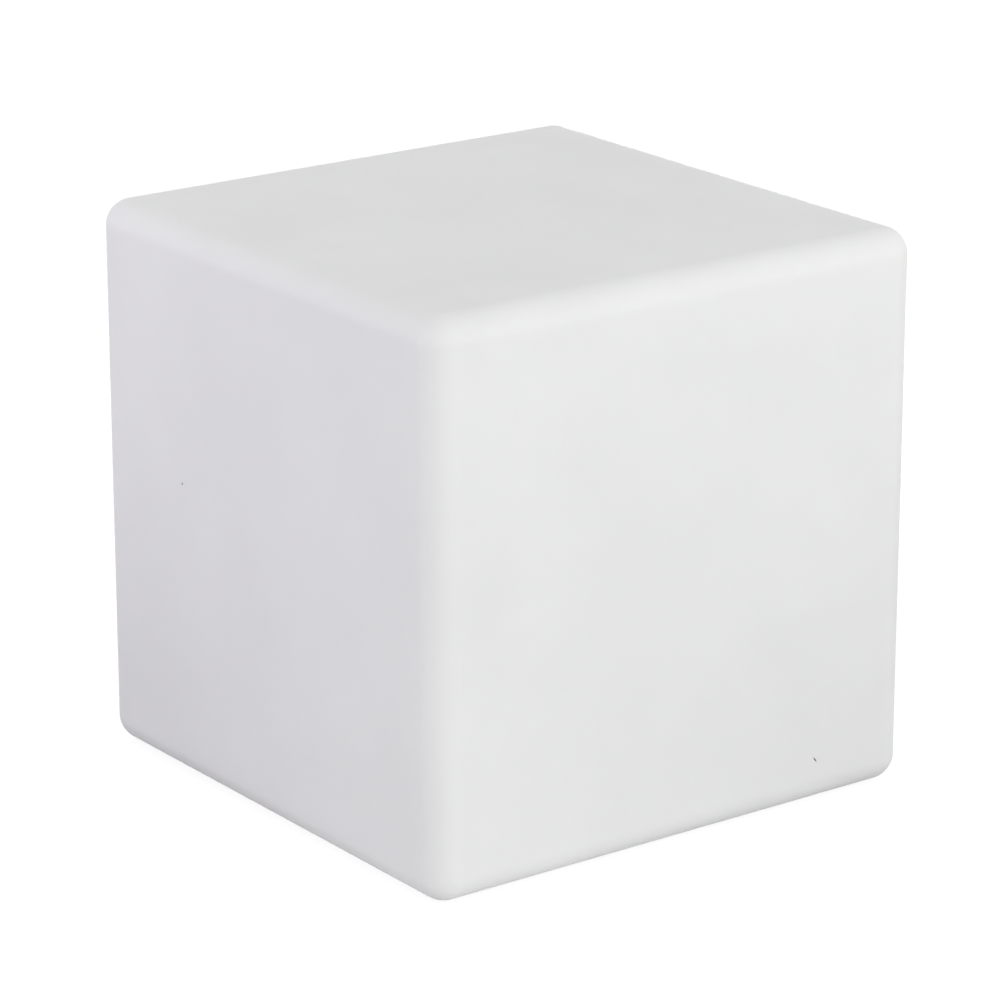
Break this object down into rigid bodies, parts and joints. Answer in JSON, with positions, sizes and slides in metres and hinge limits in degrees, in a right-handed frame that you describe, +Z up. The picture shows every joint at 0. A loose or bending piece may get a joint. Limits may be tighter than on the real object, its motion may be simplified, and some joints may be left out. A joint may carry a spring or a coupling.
{
  "type": "led cube light",
  "caption": "Rechargeable garden light: a hollow translucent cube with rounded edges, lit by a sealed lamp unit screwed into its base, with a push button and a plugged charging hole.",
  "frame": {"origin": "centre of the base, on the plane that the cube stands on", "axes": "+Z up; -Y and -X look out of the two side faces that the picture shows, -Y at its right"},
  "size_m": [0.4, 0.4, 0.396],
  "materials": {
    "shell_polyethylene": "satin, translucent white, fine moulded grain",
    "housing_plastic": "fine texture, white",
    "button_plastic": "smooth, light grey",
    "plug_rubber": "soft, light grey",
    "black_rubber": "matt black",
    "black_plastic": "matt black",
    "black_epoxy": "dark, slightly glossy",
    "steel": "bare stainless",
    "contact_metal": "bright nickel plating",
    "brass": "turned brass",
    "circuit_board": "green solder resist",
    "led_board_white": "white coated aluminium core",
    "led_lens": "pale yellow gel",
    "connector_nylon": "natural nylon",
    "cell_sleeve": "blue shrink sleeve",
    "battery_wire": "red insulation",
    "led_wire": "pale grey insulation",
    "dome_frosted": "frosted, translucent"
  },
  "bodies": {
    "cube": {"shell": "shell_polyethylene", "threaded_inserts": "brass", "seal_ring": "black_rubber", "lamp_housing": "housing_plastic", "flange_screws": "steel", "bottom_cover": "housing_plastic", "cover_seal": "black_rubber", "cover_screws": "steel", "tact_switch": "black_plastic", "charge_jack": "black_plastic", "jack_pin": "contact_metal", "plug_anchor": "plug_rubber", "control_board": "circuit_board", "board_components": "black_epoxy", "board_screws": "steel", "lead_connectors": "connector_nylon", "battery_cells": "cell_sleeve", "battery_tabs": "contact_metal", "battery_tray": "black_plastic", "tray_screws": "steel", "battery_clamp": "steel", "clamp_screws": "steel", "battery_leads": "battery_wire", "led_lead": "led_wire", "led_board": "led_board_white", "leds": "led_lens", "ir_receiver": "black_epoxy", "led_board_screws": "steel", "dome_seal": "black_rubber", "diffuser_dome": "dome_frosted"},
    "power_button": {"power_button": "button_plastic", "button_o_ring": "black_rubber", "button_clip": "steel", "switch_plunger": "black_plastic"},
    "port_plug": {"port_plug": "plug_rubber"}
  },
  "joints": [
    {"name": "button_press", "type": "slide", "parent": "cube", "child": "power_button", "axis": [0, 0, 1], "range_m": [0, 0.001], "stiffness_N_per_m": 1200, "springref_m": -0.0004},
    {"name": "plug_swing", "type": "hinge", "parent": "cube", "child": "port_plug", "pos_m": [0.006, 0, 0.0106], "axis": [0, 1, 0], "range_deg": [0, 90]}
  ]
}
